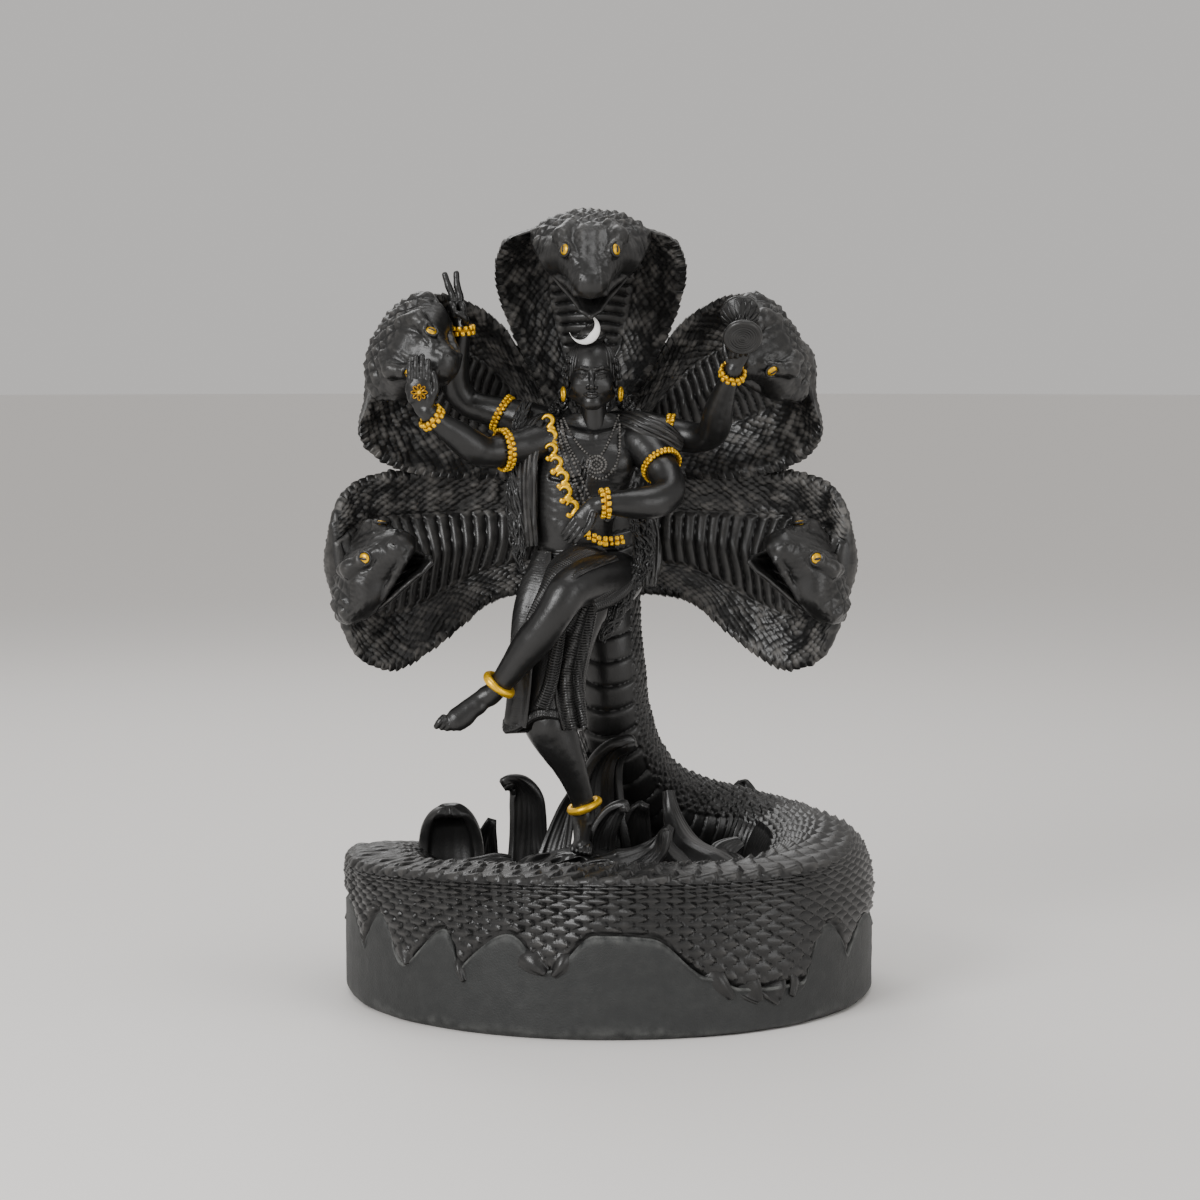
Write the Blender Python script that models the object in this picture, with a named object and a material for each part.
"""Cast resin statue: a four-armed dancer on one foot before a rearing five-headed cobra, on a round base.

The statue stands on z = 0 with the base's centre at the origin. The dancer faces -Y, +X is to a viewer's
right. Every casting is a solid of its own, fitted to its neighbours with a thin glue gap.
"""

import math

import bmesh
import bpy
from mathutils import Matrix, Vector

MM = 0.001
GLUE_GAP = 0.35 * MM
BASE_RADIUS = 94 * MM
FLOOR_HEIGHT = 29.5 * MM
RIM_WIDTH = 7 * MM
FOOT_CHAMFER = 2.5 * MM
SERPENT_AXIS_X = -6.5 * MM
EYE_RADIUS = 1.7 * MM
BANGLE_WIRE = 1.0 * MM
ANKLET_WIRE = 1.35 * MM
CHAIN_WIRE = 1.1 * MM

UP = Vector((0, 0, 1))
FRONT = Vector((0, -1, 0))

COLOURS = {
    "black_resin": ((0.018, 0.018, 0.020), 0.42, 0.0),
    "base_resin": ((0.040, 0.045, 0.046), 0.62, 0.0),
    "gold_paint": ((0.78, 0.50, 0.09), 0.35, 0.85),
    "white_paint": ((0.85, 0.85, 0.84), 0.45, 0.0),
}

# Rim height of the base in millimetres round the drum: degrees from the front, positive to the right.
RIM_WAVES = [
    (-90, 31), (-77, 33), (-65, 19), (-55, 33), (-48, 19.5), (-36, 32), (-31, 20), (-22, 34), (-13, 22),
    (2, 36), (12, 31), (19, 20), (26, 13), (38, 11), (46, 12), (54, 31), (62, 18), (76, 28), (90, 24),
    (106, 33), (122, 21), (140, 34), (158, 22), (178, 35), (196, 21), (214, 33), (230, 22), (250, 34),
]

# Each station is x, y, z, half width and half depth in millimetres, and the way the half depth faces.
COIL = [
    (-13, 71, 25, 4, 4, (0.0, 0.6, 0.8)),
    (-34, 66, 26, 8, 8, (-0.3, 0.5, 0.8)),
    (-60, 45, 29, 12.5, 12.5, (-0.5, 0.3, 0.8)),
    (-75, 10, 32, 15.5, 15.5, (-0.6, 0, 0.8)),
    (-70, -31, 33, 16.5, 16.5, (-0.6, -0.3, 0.8)),
    (-43, -61, 35, 17.5, 17.5, (-0.3, -0.5, 0.8)),
    (0, -74.5, 36, 18, 18, (0, -0.6, 0.8)),
    (44, -60, 34.5, 19, 19, (0.4, -0.5, 0.8)),
    (68, -29, 36, 19, 19, (0.6, -0.3, 0.8)),
    (73.5, 2, 40.5, 18.5, 18.5, (0.6, 0.1, 0.8)),
    (65, 29, 43, 17.5, 17.5, (0.45, 0.4, 0.8)),
]
TRUNK = [
    (64.4, 30, 43.1, 17.4, 17.4, (0.45, 0.4, 0.8)),
    (47, 39, 48.5, 16, 16, (0.3, 0.5, 0.8)),
    (29, 36, 55.5, 14.5, 14.5, (0.4, 0.65, 0.65)),
    (15, 27, 66, 13.5, 13, (0.5, 0.75, 0.35)),
    (7.5, 18, 80, 12.8, 12, (0.35, 0.9, 0.1)),
    (3, 13, 97, 11.8, 11.5, (0.2, 1, 0)),
    (0.8, 11, 116, 11, 11.5, (0.1, 1, 0)),
    (-1, 12, 134, 11.5, 11.5, (0, 1, 0)),
    (-4.5, 13, 149.5, 16, 12, (0, 1, 0)),
    (-6.2, 13, 161, 20, 13, (0, 1, 0)),
    (-6.5, 13, 175, 21, 13, (0, 1, 0)),
    (-6.5, 14, 187, 19, 12, (0, 1, 0)),
    (-6.5, 15, 196, 13, 10, (0, 1, 0)),
]

# Hoods from root to crown: one edge, the middle of the back and the other edge of each section, in
# millimetres. The two hoods on a viewer's left are mirrored for the right.
HOOD_TOP = [
    ((-18.5, 11, 188), (-6.5, 22, 187), (5.5, 11, 188)),
    ((-19, 9, 200), (-6.5, 23, 199), (6, 9, 200)),
    ((-22.5, 8, 211), (-6.5, 24, 211), (9.5, 8, 211)),
    ((-28.5, 6, 222), (-6.5, 24, 223), (15.5, 6, 222)),
    ((-33.5, 3, 233), (-6.5, 23, 235), (20.5, 3, 233)),
    ((-37.8, -2, 244.5), (-6.5, 20, 248), (24.8, -2, 244.5)),
    ((-39.6, -8, 255), (-6.5, 14, 260), (26.6, -8, 255)),
    ((-37.5, -13, 263), (-6.5, 5, 268.5), (24.5, -13, 263)),
    ((-33, -17, 267), (-6.5, -3, 272), (20, -17, 267)),
]
HOOD_UPPER = [
    ((-13, 13, 200), (-6, 22, 188), (-14, 11, 178)),
    ((-20.5, 10, 209.5), (-22, 21, 196), (-28, 9, 181.5)),
    ((-29.5, 6, 222.5), (-34, 20, 204), (-43, 7, 182)),
    ((-38.5, 3, 236), (-47, 17, 211.5), (-57, 3, 182.5)),
    ((-48.5, -2, 243.5), (-58.5, 12, 217), (-70, -2, 184.5)),
    ((-58, -8, 246.5), (-68.5, 5, 221.5), (-80, -8, 189)),
    ((-66.5, -13, 244), (-76, -3, 223.5), (-86, -13, 195.5)),
    ((-73, -18, 238.5), (-80.5, -12, 221.5), (-86.5, -18, 203.5)),
]
HOOD_LOWER = [
    ((-14, 11, 179), (-8, 19, 160), (-14, 10, 141)),
    ((-27, 10, 179.5), (-26, 19, 160), (-31, 11, 140.5)),
    ((-40, 9, 180), (-42, 18, 159), (-43, 8, 137.5)),
    ((-55, 7, 180.5), (-57, 15, 156), (-54, 3, 128.5)),
    ((-69, 3, 182), (-70, 10, 153), (-65, 0, 120)),
    ((-80, -3, 183), (-81, 2, 151.5), (-75.5, -5, 115)),
    ((-89, -9, 181), (-88, -6, 151.5), (-84, -10, 117)),
    ((-94, -14, 175.5), (-93.5, -13, 152), (-90, -14, 123)),
    ((-97, -18, 167), (-96.5, -18, 153), (-94.5, -18, 137)),
]
HOOD_WALL = 3.0
BELLY_DEPTH = 8.0
BELLY_SPREAD = 9.5

# Snake heads: nape, snout and the way from the snake's one cheek to the other, in millimetres.
SNAKE_HEADS = {
    "top": ((-6.5, -4, 271.5), (-6.5, -46, 248.5), (1, 0, 0)),
    "upper_left": ((-79, -10, 229), (-55, -37, 219), (0.445, 0.09, 0.89)),
    "upper_right": ((62, -12, 230.5), (43, -37, 223.5), (-0.445, 0.09, 0.89)),
    "lower_left": ((-94, -12, 160), (-71, -46, 165), (0.17, 0.255, 0.952)),
    "lower_right": ((81, -12, 160), (58, -46, 165), (-0.17, 0.255, 0.952)),
}
# Share of the way from nape to snout, then half width and half height.
HEAD_SECTIONS = [
    (0, 14, 5),
    (0.15, 20.5, 8.5),
    (0.32, 20.5, 11),
    (0.5, 15, 11),
    (0.67, 11.5, 9.2),
    (0.84, 9.2, 7.4),
    (0.96, 6.2, 5),
    (1, 3.2, 2.8),
]
# The open lower jaw: share of the way to the snout, below the middle, half width and half thickness.
JAW_SECTIONS = [
    (0.21, 5, 13, 2.2),
    (0.46, 10, 10, 2),
    (0.71, 14, 6.2, 1.7),
    (0.92, 16.5, 2.4, 1.3),
]
OPEN_MOUTHS = ("top", "lower_left", "lower_right")
EYE_PLACE = (9.6, 0.63, 5)

TORSO = [
    (-11, -20, 157.5, 12.6, 8.2),
    (-12.5, -21, 163, 12.2, 8.4),
    (-12, -21.5, 171, 13, 9),
    (-9.5, -21, 182, 16, 10),
    (-7, -20, 192, 17.5, 9.6),
    (-5.5, -19, 198.5, 14.5, 7.8),
    (-5, -19, 202.5, 7, 5.6),
]
HEAD = [
    (-4.8, -20.5, 203, 4.6, 4.6),
    (-5.2, -21.5, 208, 4.4, 4.8),
    (-6, -25.5, 211, 6.2, 8),
    (-6, -26, 216, 8.2, 10.3),
    (-6, -25.5, 222, 8.9, 11),
    (-6, -25, 227.5, 7.6, 9.6),
    (-6, -24.5, 231, 4, 5),
]
HAIR_BUN = [
    (-6, -22, 231.6, 5.5, 6),
    (-6, -21.5, 235, 5.2, 5.5),
    (-6, -21, 238.5, 2.4, 2.6),
]
DHOTI = [
    (-11, -20, 157, 13.8, 9.6),
    (-11, -20, 150, 17, 11.8),
    (-15, -21, 140, 17, 12.3),
    (-19.6, -23, 128, 15.2, 11.8),
    (-21.8, -25, 115, 13.9, 11),
    (-22.6, -27, 104, 14, 10.5),
    (-22.8, -28, 96.5, 14, 10),
]
FOOT_MOUND = [
    (-2, -3, 30, 56, 53),
    (-3, -5, 36, 50, 47),
    (-4, -10, 42, 38, 34),
    (-5, -18, 48, 24, 20),
    (-7, -26, 52.5, 13, 12),
    (-8, -29, 54, 7, 7),
]

LIMBS = {
    "raised_leg": [
        (3, -20, 148, 9, 9, (0, 0, 1)),
        (-3, -34, 149, 8.8, 8.6, (0, 0, 1)),
        (-9, -44, 149, 7.6, 7.4, (0, -0.2, 1)),
        (-15, -50.5, 145.5, 6.4, 6.2, (0, -1, 0.6)),
        (-20, -51, 138, 5.8, 6, (0, -1, 0)),
        (-27, -49.5, 127.5, 5.2, 5.6, (0, -1, 0)),
        (-38, -45.5, 113, 3.2, 3.3, (0, -1, 0)),
        (-43, -45.5, 107.5, 3.5, 3.8, (0, -1, 0.3)),
        (-51, -47.5, 102, 3.9, 2.9, (0.3, -1, 0.6)),
        (-58.5, -49, 97.8, 3.2, 1.5, (0.3, -1, 0.8)),
    ],
    "standing_leg": [
        (-23.5, -28, 103.5, 8.4, 8.2, (0, -1, 0)),
        (-20.2, -29, 96.5, 8.2, 7.8, (0, -1, 0)),
        (-16.9, -28.5, 89.5, 6.7, 6.8, (0, -1, 0)),
        (-13.2, -27.5, 81.5, 4.8, 5.3, (0, -1, 0)),
        (-10.2, -26, 74, 3.8, 4.3, (0, -1, 0)),
        (-8.5, -25, 67.5, 3.3, 3.6, (0, -1, 0)),
        (-8.8, -27, 61.5, 3.2, 3.8, (0, -1, 0.6)),
        (-9.4, -34, 57.5, 3.9, 2.8, (0, -0.5, 1)),
        (-9.8, -41.5, 54.5, 3.5, 1.4, (0, -0.3, 1)),
    ],
    "arm_front_right": [
        (-21, -20.5, 196.5, 6.2, 6.2, (0, -1, 0)),
        (-32, -25, 194, 5.6, 5.4, (0, -1, 0)),
        (-41.5, -30, 192.5, 4.8, 4.8, (0, -1, 0)),
        (-50, -35, 197, 4.8, 4.6, (0, -1, 0)),
        (-61.5, -41, 205.5, 3.0, 2.8, (0, -1, 0)),
        (-64.3, -42.5, 212.5, 4.6, 2.2, (0, -1, 0)),
        (-65, -43, 219, 4.3, 1.6, (0, -1, 0)),
        (-65, -43, 225.5, 3.2, 1.1, (0, -1, 0)),
    ],
    "arm_front_left": [
        (10, -21, 196, 6.2, 6.2, (0, -1, 0)),
        (17, -28, 189.5, 5.6, 5.4, (0, -1, 0)),
        (21.5, -37, 181, 5.2, 5.2, (0.4, -1, -0.4)),
        (16, -43.5, 176.5, 5.6, 5.2, (0, -1, 0)),
        (6, -47, 176, 4.6, 4.3, (0, -1, 0)),
        (-3, -48.5, 176, 3.0, 2.7, (0, -1, 0)),
        (-8, -48.5, 171.5, 4, 2, (0, -1, 0)),
        (-13, -47, 165.5, 2.6, 1.1, (0, -1, 0)),
    ],
    "arm_rear_right": [
        (-22, -13, 201.5, 5.8, 5.8, (0, -1, 0)),
        (-38, -9, 205.5, 5.3, 5.1, (0, -1, 0)),
        (-50, -7, 209, 4.6, 4.6, (0, -1, 0)),
        (-54, -9.5, 218, 4.3, 4.1, (0, -1, 0)),
        (-51.2, -14, 233.5, 2.6, 2.4, (0, -1, 0)),
        (-52, -15, 240.5, 3.6, 1.8, (0, -1, 0)),
        (-53.6, -15.5, 247, 2.8, 1.3, (0, -1, 0)),
        (-55, -15.5, 253.5, 1.6, 0.8, (0, -1, 0)),
    ],
    "arm_rear_left": [
        (11, -13, 200, 5.8, 5.8, (0, -1, 0)),
        (23, -13, 198, 5.3, 5.1, (0, -1, 0)),
        (34, -19, 197.5, 4.7, 4.7, (0, -1, 0)),
        (37.5, -30, 206.5, 4.6, 4.4, (0, -1, 0)),
        (41.6, -42, 219, 2.6, 2.5, (0, -1, 0)),
        (43.6, -46, 225, 3.4, 1.8, (0.3, -1, 0)),
        (44.6, -47.4, 230, 2.4, 1.3, (0.3, -1, 0)),
    ],
}

# Curled splashes of water round the foot, each a thick petal.
WAVES = {
    "wave_round_left": [
        (-57, 8, 33, 11.5, 2.6, (0, -1, 0)),
        (-57, 10, 45, 11.5, 2.8, (0, -1, 0)),
        (-57, 9, 55, 10.5, 2.8, (0, -1, -0.3)),
        (-56.5, 5, 61, 7.5, 2.6, (0, -0.7, -0.7)),
        (-56, 0, 62.5, 3.5, 1.6, (0, -0.3, -1)),
    ],
    "wave_thin_left": [
        (-45, 20, 38, 5, 2, (0, -1, 0)),
        (-44.5, 21, 48, 4, 1.8, (0, -1, 0)),
        (-42.5, 22, 57, 1.2, 1, (0, -1, 0)),
    ],
    "wave_tall": [
        (-30, -2, 40, 9.5, 3.4, (0, -1, 0)),
        (-29.5, 0, 52, 8, 3, (0, -1, 0)),
        (-30.5, 0, 63, 8, 2.8, (0, -1, 0)),
        (-33, -1, 70, 6, 2.8, (0, -1, -0.4)),
        (-37, -4, 72, 3, 2, (0, -0.7, -0.9)),
    ],
    "wave_behind_foot": [
        (3, -6, 48, 10, 3, (0, -1, 0)),
        (5, -5, 62, 11, 2.8, (0, -1, 0)),
        (8, -5.5, 75, 9, 2.6, (0, -1, -0.2)),
        (11, -8, 83.5, 5, 2.4, (0, -1, -0.6)),
        (13, -11.5, 87, 2, 1.4, (0, -0.8, -0.8)),
    ],
    "wave_dish": [
        (-4, -44, 50, 8, 2.2, (0, -0.5, 1)),
        (5, -43, 52, 8.5, 2.2, (0.2, -0.5, 1)),
        (14, -38, 57, 6.5, 2.2, (-0.4, -0.5, 1)),
        (20, -34, 64, 2, 1.4, (-1, -0.5, 0.7)),
    ],
    "wave_ridge_right": [
        (24, -6, 72, 2.2, 2.0, (0, -1, 0)),
        (23, -12, 63, 5, 2.6, (0.3, -0.8, 0.7)),
        (27, -22, 55, 8, 2.8, (0.3, -0.7, 0.9)),
        (36, -33, 50, 8, 2.6, (0.2, -0.6, 1)),
        (44, -40, 48.5, 4, 2, (0.2, -0.5, 1)),
    ],
    "wave_rear": [
        (54, 61, 42, 9, 2.6, (0.6, 0.6, 0)),
        (53, 60, 54, 8.5, 2.8, (0.6, 0.6, 0)),
        (52, 58, 62, 6, 2.6, (0.5, 0.5, 0.5)),
        (49, 55, 66, 2.5, 1.8, (0.2, 0.2, 1)),
    ],
}

# Long locks of hair that fall from the shoulder to the hip, on a viewer's left.
SIDE_TRESSES = [
    (-29.5, -15, 208, 3, 2.4, (0, -1, 0)),
    (-31.5, -20, 196, 4.2, 3, (0, -1, 0)),
    (-32.5, -22, 182, 4, 3, (0, -1, 0)),
    (-31.5, -24, 167, 4, 3, (0, -1, 0)),
    (-29.5, -27, 155, 2.2, 2, (0, -1, 0)),
]
# The loose end of the waist sash, which hangs beside the raised thigh.
SASH_END = [
    (9.5, -26.5, 154, 2.4, 2, (0.4, -1, 0)),
    (8, -29, 147.5, 3.2, 2, (0.4, -1, 0)),
    (4.6, -30.5, 140.5, 3.2, 2, (0.3, -1, 0)),
    (0.6, -32, 133.5, 2.6, 1.8, (0.3, -1, 0)),
    (-2.6, -33, 127.5, 1, 1, (0.3, -1, 0)),
]
GARLAND = [
    (-21, -31, 203, 2.6, 1.3, (0, -1, 0)),
    (-20, -34.2, 196, 2.6, 1.3, (0, -1, 0)),
    (-17, -35.6, 185, 2.6, 1.3, (0, -1, 0)),
    (-13.5, -34.6, 175, 2.4, 1.3, (0, -1, 0)),
    (-11.5, -33.2, 169.5, 2.0, 1.2, (0, -1, 0)),
]
WAIST_CHAIN = [
    (-8, -33.4, 163.5, 1.4, 1.3, (0, -1, 0)),
    (-2, -32.6, 160.6, 1.6, 1.3, (0, -1, 0)),
    (4, -29.8, 159.6, 1.4, 1.3, (0, -1, 0)),
]

# Rings on the limbs: centre, the way the limb runs, ring radius and wire radius in millimetres.
RINGS = {
    "armlet_front_right": ((-33, -25.5, 193.8), (-10, -5, -1), 7.0, BANGLE_WIRE),
    "armlet_front_left": ((18, -29.5, 188), (6, -9, -8), 7.0, BANGLE_WIRE),
    "armlet_rear_right": ((-36, -9.4, 205), (-15, 2.5, 4), 6.8, BANGLE_WIRE),
    "armlet_rear_left": ((21, -13, 198.2), (12, -1, -1.5), 6.8, BANGLE_WIRE),
    "bracelet_front_right": ((-60.6, -40.4, 204.8), (-8, -4, 7.5), 4.6, BANGLE_WIRE),
    "bracelet_front_left": ((-1.5, -48.3, 176.1), (-9, -1, -0.5), 4.7, BANGLE_WIRE),
    "bracelet_rear_right": ((-51.2, -14.2, 234.5), (-0.5, -1, 10), 4.1, BANGLE_WIRE),
    "bracelet_rear_left": ((41.9, -42.6, 220), (3, -9, 10), 4.3, BANGLE_WIRE),
    "anklet_raised": ((-37.8, -45.8, 113.8), (-11, 4, -14), 5.2, ANKLET_WIRE),
    "anklet_standing": ((-8.7, -24.6, 68.6), (3.2, 1.0, -9), 5.3, ANKLET_WIRE),
    "earring_right": ((-15.9, -23.5, 213.2), (1, 0.2, 0), 2.1, 0.55 * MM),
    "earring_left": ((4.0, -23.5, 213.2), (1, -0.2, 0), 2.1, 0.55 * MM),
}

DRUM_FRONT = Vector((45, -54, 232))
DRUM_BACK = Vector((44.6, -40, 241))
DRUM_SKIN_RADIUS = 6.3
DRUM_WAIST_RADIUS = 2.2

MOON_CENTRE = Vector((-8.4, -28.6, 234.6))
MOON_OUTER = 5.2
MOON_INNER = 4.2
MOON_OFFSET = 1.75
MOON_THICKNESS = 1.6
MOON_TURN = math.radians(35)

ROSETTE_CENTRE = Vector((-64.6, -46.6, 214.2))
ROSETTE_RADIUS = 2.9
ROSETTE_THICKNESS = 1.0


def clear_scene():
    for obj in list(bpy.data.objects):
        bpy.data.objects.remove(obj)


def material(name):
    """A Principled material with one of the four finishes."""
    found = bpy.data.materials.get(name)
    if found:
        return found
    colour, roughness, metallic = COLOURS[name]
    made = bpy.data.materials.new(name)
    made.use_nodes = True
    shader = made.node_tree.nodes["Principled BSDF"]
    shader.inputs["Base Color"].default_value = (*colour, 1)
    shader.inputs["Roughness"].default_value = roughness
    shader.inputs["Metallic"].default_value = metallic
    made.diffuse_color = (*colour, 1)
    return made


def between(a, b, c, d, t):
    """Catmull-Rom value between b and c."""
    return 0.5 * (
        2 * b + (c - a) * t + (2 * a - 5 * b + 4 * c - d) * t * t + (3 * b - a - 3 * c + d) * t * t * t
    )


def smooth_path(rows, steps):
    """Rows of numbers read off a smooth curve through the given rows, steps to each stretch."""
    last = len(rows) - 1
    found = []
    for i in range(last):
        a, b, c, d = (rows[max(0, min(last, k))] for k in (i - 1, i, i + 1, i + 2))
        for step in range(steps):
            t = step / steps
            found.append([between(*values, t) for values in zip(a, b, c, d)])
    found.append(list(rows[last]))
    return found


def ring_mesh(rings):
    """A closed mesh through rings of equally many points, with a flat cap on each end."""
    mesh = bmesh.new()
    loops = [[mesh.verts.new(point) for point in ring] for ring in rings]
    for low, high in zip(loops, loops[1:]):
        for k in range(len(low)):
            following = (k + 1) % len(low)
            mesh.faces.new((low[k], low[following], high[following], high[k]))
    mesh.faces.new(loops[0])
    mesh.faces.new(loops[-1])
    bmesh.ops.recalc_face_normals(mesh, faces=mesh.faces)
    return mesh


def loft(stations, sides=8, steps=2, level=False, folds=0, fold_depth=0.0):
    """A closed tube with an elliptical section at each station.

    level keeps every section horizontal, and folds is how many pleats run along the tube.
    """
    flat = [(*row[:5], *(row[5] if len(row) > 5 else FRONT)) for row in stations]
    path = smooth_path(flat, steps)
    places = [Vector(row[:3]) for row in path]
    rings = []
    for i, row in enumerate(path):
        along = places[min(i + 1, len(places) - 1)] - places[max(i - 1, 0)]
        along = UP if level else along.normalized()
        across = along.cross(Vector(row[5:8])).normalized()
        facing = across.cross(along)
        ring = []
        for k in range(sides):
            turn = 2 * math.pi * k / sides
            pleat = fold_depth * i / len(path) * math.cos(folds * turn)
            offset = across * math.cos(turn) * (row[3] + pleat)
            offset += facing * math.sin(turn) * (row[4] + pleat)
            ring.append((places[i] + offset) * MM)
        rings.append(ring)
    return ring_mesh(rings)


def mirrored(point):
    """The same place on the other side of the serpent's middle plane."""
    x, y, z = point
    return 2 * SERPENT_AXIS_X / MM - x, y, z


def hood_outline():
    """The hood's section as pairs: the share of its half width, and which face, belly or back."""
    belly_side = [(share, 1) for share in (-0.8, -0.45, -0.2, 0.2, 0.45, 0.8)]
    back_side = [(share, -1) for share in (0.8, 0.45, 0.2, -0.2, -0.45, -0.8)]
    return [(-1, 0), *belly_side, (1, 0), *back_side]


def hood_mesh(sections):
    """A hood: a curled wing on each side of a thick neck, bent forward over the head."""
    path = smooth_path([sum(section, ()) for section in sections], 2)
    path = [(Vector(row[0:3]), Vector(row[3:6]), Vector(row[6:9])) for row in path]
    rings = []
    for i, (first, back, second) in enumerate(path):
        along = path[min(i + 1, len(path) - 1)][1] - path[max(i - 1, 0)][1]
        half = (second - first) / 2
        curl = (first + second) / 2 - back
        facing = half.cross(along).normalized()
        if facing.dot(curl) < 0:
            facing.negate()
        ring = []
        for share, side in hood_outline():
            belly = BELLY_DEPTH * math.exp(-((share * half.length / BELLY_SPREAD) ** 2))
            lift = side * (HOOD_WALL / 2 + 0.75 * belly)
            ring.append((back + half * share + curl * share * share + facing * lift) * MM)
        rings.append(ring)
    return ring_mesh(rings)


def head_frame(nape, snout, across):
    """Matrix from a snake head's own axes (across, along, up) in millimetres to metres."""
    along = (Vector(snout) - Vector(nape)).normalized()
    across = Vector(across)
    across = (across - across.dot(along) * along).normalized()
    up = along.cross(across)
    if up.y > 0:
        up.negate()
    turn = Matrix((across, along, up)).transposed().to_4x4()
    return Matrix.Scale(MM, 4) @ Matrix.Translation(Vector(nape)) @ turn


def snake_head_mesh(frame, sections, sides):
    """A tapering casting along a snake head's axis: along it, above it, half width and half height."""
    rings = []
    for along, above, wide, deep in sections:
        ring = []
        for k in range(sides):
            turn = 2 * math.pi * (k + 0.5) / sides
            place = Vector((math.cos(turn) * wide, along, above + math.sin(turn) * deep))
            ring.append(frame @ place)
        rings.append(ring)
    return ring_mesh(rings)


def ball_mesh(centre, radius):
    mesh = bmesh.new()
    bmesh.ops.create_icosphere(mesh, subdivisions=1, radius=radius, matrix=Matrix.Translation(centre))
    return mesh


def ring_on_limb(centre, along, radius, wire):
    """A torus round a limb."""
    turn = Vector(along).to_track_quat("Z", "X").to_matrix()
    around, wires = 14, 6
    mesh = bmesh.new()
    loops = []
    for i in range(around):
        angle = 2 * math.pi * i / around
        out = turn @ Vector((math.cos(angle), math.sin(angle), 0))
        axis = turn @ Vector((0, 0, 1))
        loop = []
        for k in range(wires):
            roll = 2 * math.pi * k / wires
            place = Vector(centre) * MM + out * (radius * MM + wire * math.cos(roll))
            loop.append(mesh.verts.new(place + axis * wire * math.sin(roll)))
        loops.append(loop)
    for i in range(around):
        low, high = loops[i], loops[(i + 1) % around]
        for k in range(wires):
            mesh.faces.new((low[k], low[(k + 1) % wires], high[(k + 1) % wires], high[k]))
    bmesh.ops.recalc_face_normals(mesh, faces=mesh.faces)
    return mesh


def rim_height(degrees):
    """Height of the base's wavy rim, in millimetres, at an angle from the front."""
    table = RIM_WAVES + [(RIM_WAVES[0][0] + 360, RIM_WAVES[0][1])]
    while degrees < table[0][0]:
        degrees += 360
    for (start, low), (end, high) in zip(table, table[1:]):
        if degrees <= end:
            t = (degrees - start) / (end - start)
            return low + (high - low) * t * t * (3 - 2 * t)
    return table[-1][1]


def base_mesh():
    """The drum: a flat foot, a plain wall with a wavy rim, and a floor inside the rim."""
    count = 72
    rings = [[] for _ in range(6)]
    inner = BASE_RADIUS - RIM_WIDTH
    for k in range(count):
        degrees = 360 * k / count - 90
        angle = math.radians(degrees - 90)
        out = Vector((math.cos(angle), math.sin(angle), 0))
        rim = rim_height(degrees) * MM
        rings[0].append(out * (BASE_RADIUS - FOOT_CHAMFER))
        rings[1].append(out * BASE_RADIUS + UP * FOOT_CHAMFER)
        rings[2].append(out * BASE_RADIUS + UP * (rim - 1.5 * MM))
        rings[3].append(out * (BASE_RADIUS - 1.2 * MM) + UP * rim)
        rings[4].append(out * inner + UP * rim)
        rings[5].append(out * (inner - 9 * MM) + UP * FLOOR_HEIGHT)
    return ring_mesh(rings)


def hand_drum_mesh():
    """An hourglass drum with a skin on each end."""
    axis = DRUM_BACK - DRUM_FRONT
    turn = axis.to_track_quat("Z", "X").to_matrix()
    profile = [(0, 1), (0.12, 1.04), (0.25, 0.75), (0.5, DRUM_WAIST_RADIUS / DRUM_SKIN_RADIUS)]
    profile += [(1 - share, radius) for share, radius in reversed(profile[:-1])]
    rings = []
    for share, radius in profile:
        centre = DRUM_FRONT + axis * share
        ring = []
        for k in range(12):
            angle = 2 * math.pi * k / 12
            out = turn @ Vector((math.cos(angle), math.sin(angle), 0))
            ring.append((centre + out * radius * DRUM_SKIN_RADIUS) * MM)
        rings.append(ring)
    return ring_mesh(rings)


def moon_mesh():
    """A crescent: an outer arc and a smaller, shifted inner arc, given a thickness."""
    half = math.radians(132)
    count = 12
    arc = [half * (2 * k / count - 1) for k in range(count + 1)]
    outline = [Vector((MOON_OUTER * math.cos(a), 0, MOON_OUTER * math.sin(a))) for a in arc]
    inner = [
        Vector((MOON_INNER * math.cos(a) - MOON_OFFSET, 0, MOON_INNER * math.sin(a)))
        for a in reversed(arc[1:-1])
    ]
    turn = Matrix.Rotation(MOON_TURN, 3, "Y")
    rings = []
    for depth in (-MOON_THICKNESS / 2, MOON_THICKNESS / 2):
        middle = Vector((0, depth, 0))
        rings.append([(MOON_CENTRE + turn @ (point + middle)) * MM for point in outline + inner])
    return ring_mesh(rings)


def rosette_mesh():
    """An eight-petalled disc on the open palm."""
    rings = []
    for depth in (0.5, -0.5):
        ring = []
        for k in range(16):
            angle = 2 * math.pi * k / 16
            radius = ROSETTE_RADIUS * (1 if k % 2 else 0.82)
            place = Vector((math.cos(angle) * radius, depth * ROSETTE_THICKNESS, math.sin(angle) * radius))
            ring.append((ROSETTE_CENTRE + place) * MM)
        rings.append(ring)
    return ring_mesh(rings)


def box_of(obj):
    places = [vertex.co for vertex in obj.data.vertices]
    low = Vector([min(place[k] for place in places) for k in range(3)])
    high = Vector([max(place[k] for place in places) for k in range(3)])
    return low, high


def near(first, second):
    low_a, high_a = box_of(first)
    low_b, high_b = box_of(second)
    return all(low_a[k] < high_b[k] + GLUE_GAP and low_b[k] < high_a[k] + GLUE_GAP for k in range(3))


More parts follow.
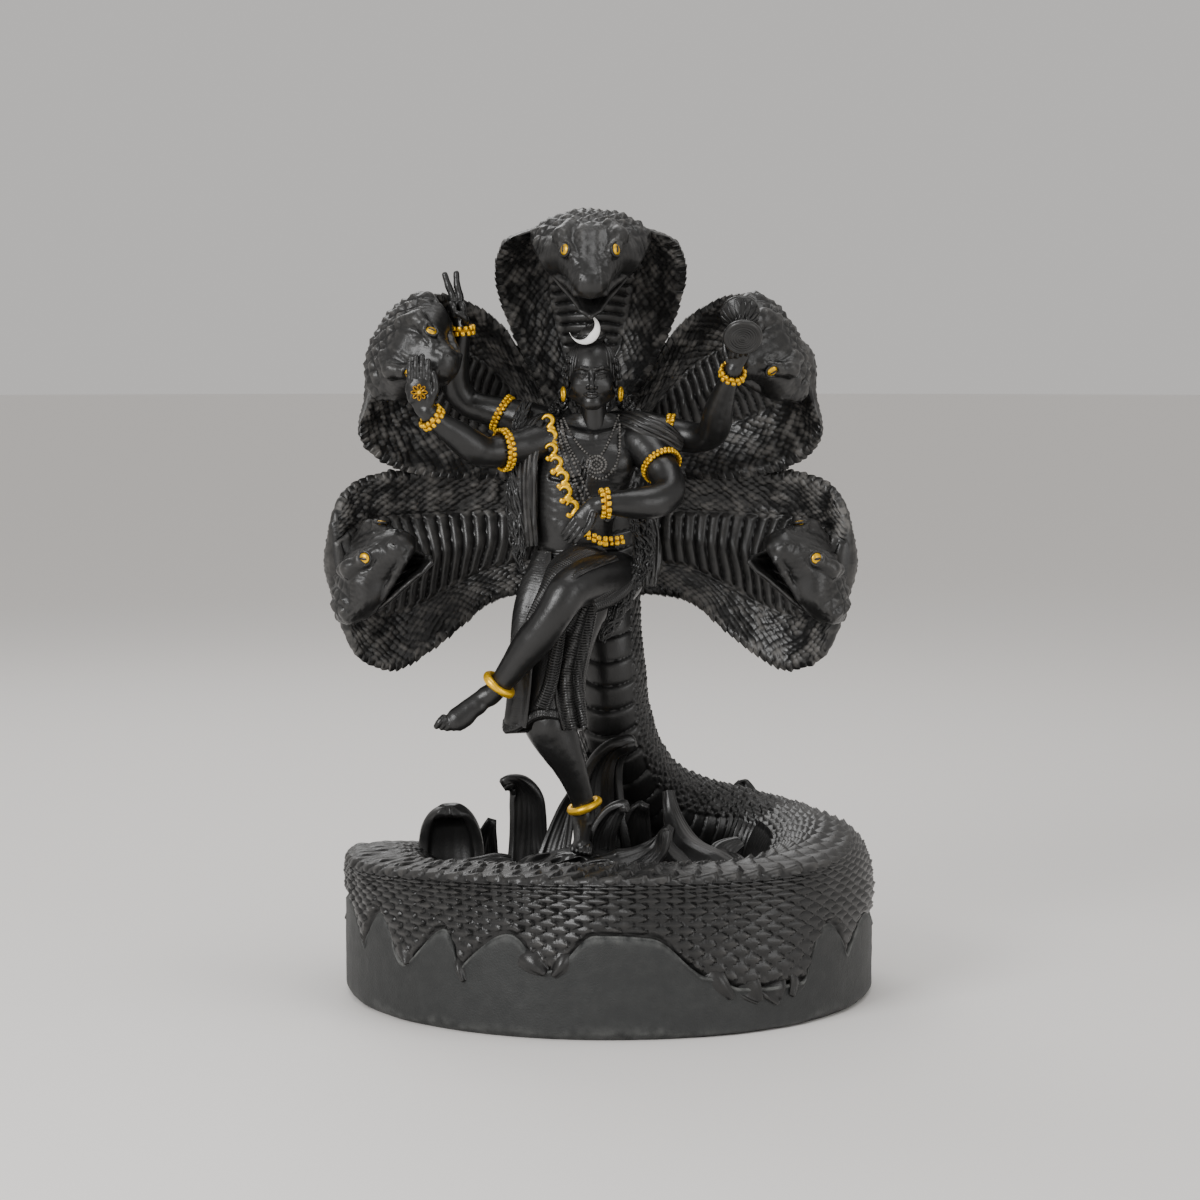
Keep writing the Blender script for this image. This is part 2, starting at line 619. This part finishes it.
def make_cutter(obj):
    """A hidden copy of a whole casting, larger by the glue gap on every side."""
    mesh = bmesh.new()
    mesh.from_mesh(obj.data)
    bmesh.ops.triangulate(mesh, faces=mesh.faces)
    mesh.normal_update()
    grown = [v.co + v.normal * min(v.calc_shell_factor(), 2.0) * GLUE_GAP for v in mesh.verts]
    for vertex, place in zip(mesh.verts, grown):
        vertex.co = place
    cutter = bpy.data.objects.new("cutter_" + obj.name, bpy.data.meshes.new("cutter_" + obj.name))
    mesh.to_mesh(cutter.data)
    mesh.free()
    cutter.hide_render = True
    cutter.display_type = "WIRE"
    bpy.context.collection.objects.link(cutter)


def keep_largest_body(mesh):
    """Removes the offcuts that a cut left, and keeps the piece itself."""
    unseen = set(mesh.verts)
    bodies = []
    while unseen:
        body, queue = [], [unseen.pop()]
        while queue:
            vertex = queue.pop()
            body.append(vertex)
            for edge in vertex.link_edges:
                other = edge.other_vert(vertex)
                if other in unseen:
                    unseen.remove(other)
                    queue.append(other)
        bodies.append(body)
    bodies.sort(key=len)
    for body in bodies[:-1]:
        bmesh.ops.delete(mesh, geom=body, context="VERTS")


def fit(obj, neighbours):
    """Cuts a piece back from the neighbours that it would run into."""
    close = [other for other in neighbours if near(obj, other)]
    if not close:
        return
    for other in close:
        cut = obj.modifiers.new("fit_" + other.name, "BOOLEAN")
        cut.operation = "DIFFERENCE"
        cut.object = bpy.data.objects["cutter_" + other.name]
    graph = bpy.context.evaluated_depsgraph_get()
    mesh = bmesh.new()
    mesh.from_mesh(obj.evaluated_get(graph).to_mesh())
    obj.evaluated_get(graph).to_mesh_clear()
    obj.modifiers.clear()
    keep_largest_body(mesh)
    bmesh.ops.triangulate(mesh, faces=mesh.faces)
    bmesh.ops.remove_doubles(mesh, verts=mesh.verts, dist=0.01 * MM)
    mesh.to_mesh(obj.data)
    mesh.free()


def make(name, mesh, finish):
    obj = bpy.data.objects.new(name, bpy.data.meshes.new(name))
    mesh.to_mesh(obj.data)
    mesh.free()
    obj.data.materials.append(material(finish))
    bpy.context.collection.objects.link(obj)
    return obj


def add(name, mesh, finish, placed):
    """Makes the piece, fits it to those already placed, and adds it to them."""
    obj = make(name, mesh, finish)
    make_cutter(obj)
    fit(obj, placed)
    placed.append(obj)


def join(obj, mesh):
    """Adds a second casting to a piece so that the two are one body."""
    other = bpy.data.objects.new("addition", bpy.data.meshes.new("addition"))
    mesh.to_mesh(other.data)
    mesh.free()
    bpy.context.collection.objects.link(other)
    union = obj.modifiers.new("join", "BOOLEAN")
    union.operation = "UNION"
    union.object = other
    graph = bpy.context.evaluated_depsgraph_get()
    made = bpy.data.meshes.new_from_object(obj.evaluated_get(graph))
    obj.modifiers.clear()
    obj.data = made
    bpy.data.objects.remove(other)


def add_snake_head(name, nape, snout, across, placed):
    frame = head_frame(nape, snout, across)
    length = (Vector(snout) - Vector(nape)).length
    for side, label in ((1, "a"), (-1, "b")):
        wide, share, above = EYE_PLACE
        centre = frame @ Vector((side * wide, share * length, above))
        add(f"eye_{name}_{label}", ball_mesh(centre, EYE_RADIUS), "gold_paint", placed)
    skull = [(share * length, 0, wide, deep) for share, wide, deep in HEAD_SECTIONS]
    jaw = [(share * length, -below, wide, deep) for share, below, wide, deep in JAW_SECTIONS]
    obj = make("serpent_head_" + name, snake_head_mesh(frame, skull, 12), "black_resin")
    if name in OPEN_MOUTHS:
        join(obj, snake_head_mesh(frame, jaw, 6))
    make_cutter(obj)
    fit(obj, placed)
    placed.append(obj)


def add_serpent(placed):
    add("serpent_coil", loft(COIL, sides=12), "black_resin", placed)
    add("serpent_trunk", loft(TRUNK, sides=12), "black_resin", placed)
    for name, (nape, snout, across) in SNAKE_HEADS.items():
        add_snake_head(name, nape, snout, across, placed)
    add("hood_top", hood_mesh(HOOD_TOP), "black_resin", placed)
    for label, sections in (("upper", HOOD_UPPER), ("lower", HOOD_LOWER)):
        other = [tuple(mirrored(point) for point in reversed(section)) for section in sections]
        add(f"hood_{label}_left", hood_mesh(sections), "black_resin", placed)
        add(f"hood_{label}_right", hood_mesh(other), "black_resin", placed)


def add_dancer(placed):
    add("crescent_moon", moon_mesh(), "white_paint", placed)
    add("palm_rosette", rosette_mesh(), "gold_paint", placed)
    add("head", loft(HEAD, sides=12, steps=1, level=True), "black_resin", placed)
    add("hair_bun", loft(HAIR_BUN, sides=8, steps=1, level=True), "black_resin", placed)
    for name, (centre, along, radius, wire) in RINGS.items():
        add(name, ring_on_limb(centre, along, radius, wire), "gold_paint", placed)
    add("garland", loft(GARLAND, sides=6), "gold_paint", placed)
    add("waist_chain", loft(WAIST_CHAIN, sides=6), "gold_paint", placed)
    add("torso", loft(TORSO, sides=14, steps=1, level=True), "black_resin", placed)
    pleated = loft(DHOTI, sides=40, steps=1, level=True, folds=6, fold_depth=0.8)
    add("dhoti", pleated, "black_resin", placed)
    add("sash_end", loft(SASH_END), "black_resin", placed)
    add("hand_drum", hand_drum_mesh(), "black_resin", placed)
    for name, stations in LIMBS.items():
        add(name, loft(stations), "black_resin", placed)
    add("side_tresses", loft(SIDE_TRESSES), "black_resin", placed)


def add_base(placed):
    for name, stations in WAVES.items():
        add(name, loft(stations, steps=1), "black_resin", placed)
    add("foot_mound", loft(FOOT_MOUND, sides=20, steps=1, level=True), "black_resin", placed)
    add("base_drum", base_mesh(), "base_resin", placed)


def main():
    clear_scene()
    placed = []
    add_serpent(placed)
    add_dancer(placed)
    add_base(placed)


main()
